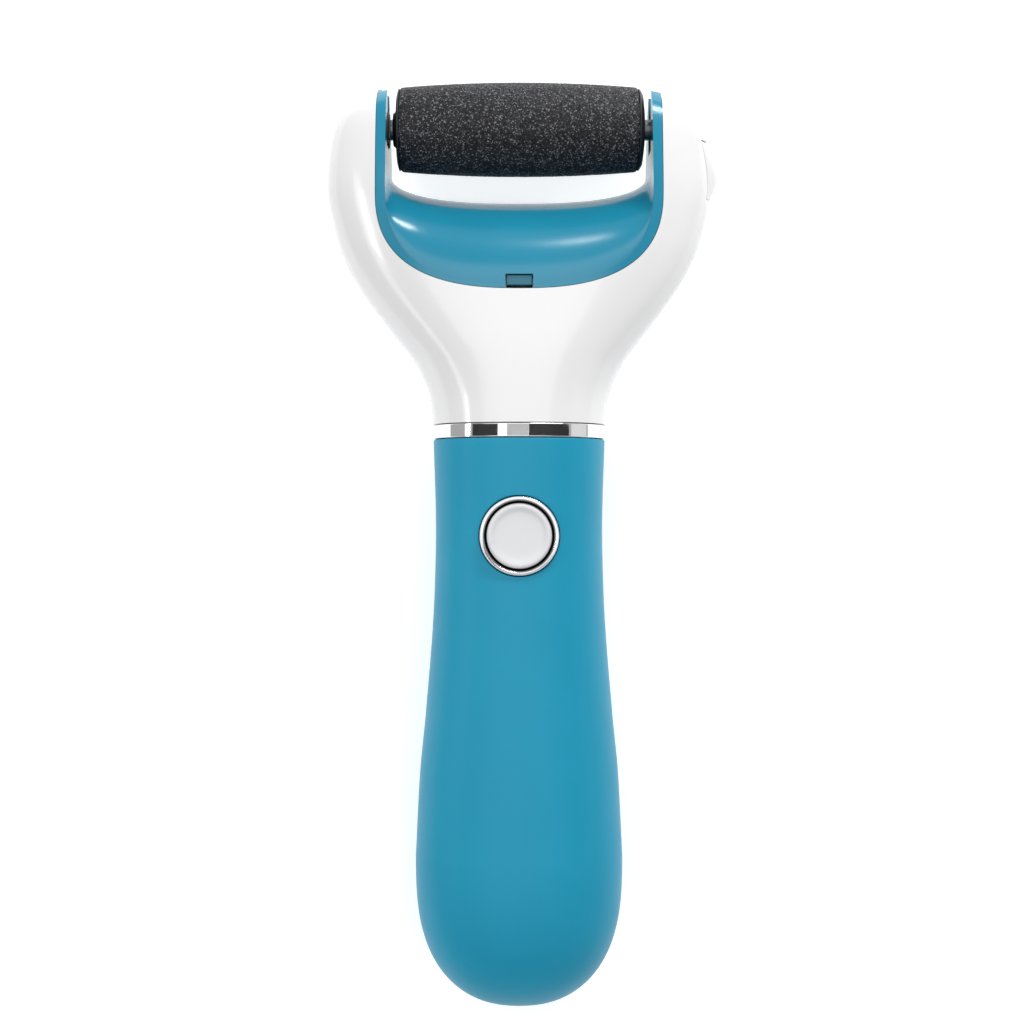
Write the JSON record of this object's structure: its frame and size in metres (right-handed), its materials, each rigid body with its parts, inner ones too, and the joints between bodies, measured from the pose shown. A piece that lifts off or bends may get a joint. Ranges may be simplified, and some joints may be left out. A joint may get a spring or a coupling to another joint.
{
  "type": "electric callus remover",
  "caption": "Cordless foot-care tool: teal handle with one ringed button, white forked head and a barrel-shaped abrasive roller driven by an inner motor and gear train.",
  "frame": {"origin": "middle of the footprint on the surface that the object lies on, under the point halfway along it", "axes": "+X along the roller, +Y along the handle towards the roller, +Z out of the side that has the power button"},
  "size_m": [0.07, 0.1646, 0.0299],
  "materials": {
    "teal_plastic": "satin teal plastic",
    "white_plastic": "glossy white plastic",
    "black_plastic": "black moulded plastic",
    "natural_acetal": "natural acetal",
    "steel": "bright steel",
    "chrome": "mirror chrome plating",
    "black_rubber": "black rubber",
    "teal_rubber": "soft teal rubber",
    "abrasive": "mineral grit bonded to a sleeve",
    "copper": "copper windings on a steel stack",
    "bronze": "sintered bronze",
    "ferrite": "ferrite magnet",
    "board": "green circuit board",
    "cell": "sleeved lithium cell",
    "wire_red": "red wire insulation",
    "wire_black": "black wire insulation"
  },
  "bodies": {
    "casing": {"handle_front_shell": "teal_plastic", "handle_back_shell": "teal_plastic", "head_front_shell": "white_plastic", "head_back_shell": "white_plastic", "cradle": "teal_plastic", "cradle_catch": "teal_plastic", "neck_ring": "chrome", "neck_sleeve": "natural_acetal", "neck_seal": "black_rubber", "button_bezel": "chrome", "button_seal": "black_rubber", "tact_switch": "black_plastic", "circuit_board": "board", "controller_chip": "black_plastic", "charging_chip": "black_plastic", "battery_cell": "cell", "battery_tray": "natural_acetal", "battery_tab_plus": "steel", "battery_tab_minus": "steel", "charging_jack": "black_plastic", "motor_wire_red": "wire_red", "motor_wire_black": "wire_black", "battery_wire_red": "wire_red", "battery_wire_black": "wire_black", "motor_can": "steel", "motor_end_cap": "black_plastic", "motor_magnet_upper": "ferrite", "motor_magnet_lower": "ferrite", "motor_bracket": "steel", "transfer_pin": "steel", "lower_idler_pin": "steel", "upper_idler_pin": "steel", "gear_cover": "black_plastic", "hub_bush": "bronze", "latch_spring": "steel", "neck_screw_left": "steel", "neck_screw_right": "steel", "cradle_screw_left": "steel", "cradle_screw_right": "steel", "handle_screw_left": "steel", "handle_screw_right": "steel", "handle_screw_upper": "steel"},
    "cartridge": {"bearing_shoe": "black_plastic"},
    "roller": {"abrasive_sleeve": "abrasive", "roller_core": "black_plastic", "drive_end_cap": "black_plastic", "idle_end_cap": "black_plastic", "roller_shaft": "steel"},
    "hub": {"drive_hub": "black_plastic"},
    "upper_idler": {"upper_idler_gear": "natural_acetal"},
    "lower_idler": {"lower_idler_gear": "natural_acetal"},
    "transfer": {"transfer_gear": "natural_acetal"},
    "motor_rotor": {"motor_shaft": "steel", "motor_armature": "copper", "motor_pinion": "natural_acetal"},
    "power_button": {"power_button": "white_plastic", "switch_plunger": "black_plastic"},
    "release_button": {"release_button": "white_plastic"},
    "port_plug": {"port_plug": "teal_rubber"}
  },
  "joints": [
    {"name": "cartridge_lift", "type": "slide", "parent": "casing", "child": "cartridge", "axis": [0, 1, 0], "range_m": [0, 0.02]},
    {"name": "roller_spin", "type": "hinge", "parent": "cartridge", "child": "roller", "pos_m": [0, 0.0742, 0.0155], "axis": [1, 0, 0], "continuous": true},
    {"name": "hub_spin", "type": "hinge", "parent": "casing", "child": "hub", "pos_m": [0, 0.0742, 0.0155], "axis": [1, 0, 0], "continuous": true},
    {"name": "upper_idler_spin", "type": "hinge", "parent": "casing", "child": "upper_idler", "pos_m": [0, 0.06677, 0.01448], "axis": [1, 0, 0], "continuous": true},
    {"name": "lower_idler_spin", "type": "hinge", "parent": "casing", "child": "lower_idler", "pos_m": [0, 0.05879, 0.01394], "axis": [1, 0, 0], "continuous": true},
    {"name": "transfer_spin", "type": "hinge", "parent": "casing", "child": "transfer", "pos_m": [0, 0.05245, 0.0125], "axis": [1, 0, 0], "continuous": true},
    {"name": "motor_spin", "type": "hinge", "parent": "casing", "child": "motor_rotor", "pos_m": [0, 0.04367, 0.0145], "axis": [1, 0, 0], "continuous": true},
    {"name": "power_press", "type": "slide", "parent": "casing", "child": "power_button", "axis": [0, 0, -1], "range_m": [0, 0.0006], "stiffness_N_per_m": 400},
    {"name": "release_press", "type": "slide", "parent": "casing", "child": "release_button", "axis": [-1, 0, 0], "range_m": [0, 0.0011], "stiffness_N_per_m": 600, "deforming": ["latch_spring"]},
    {"name": "plug_pull", "type": "slide", "parent": "casing", "child": "port_plug", "axis": [0, -1, 0], "range_m": [0, 0.012]}
  ],
  "couplings": [
    {"joint": "hub_spin", "follows": "roller_spin", "ratio": 1},
    {"joint": "upper_idler_spin", "follows": "roller_spin", "ratio": -0.875},
    {"joint": "lower_idler_spin", "follows": "roller_spin", "ratio": 0.875},
    {"joint": "transfer_spin", "follows": "roller_spin", "ratio": -1.4},
    {"joint": "motor_spin", "follows": "roller_spin", "ratio": 3.64}
  ]
}
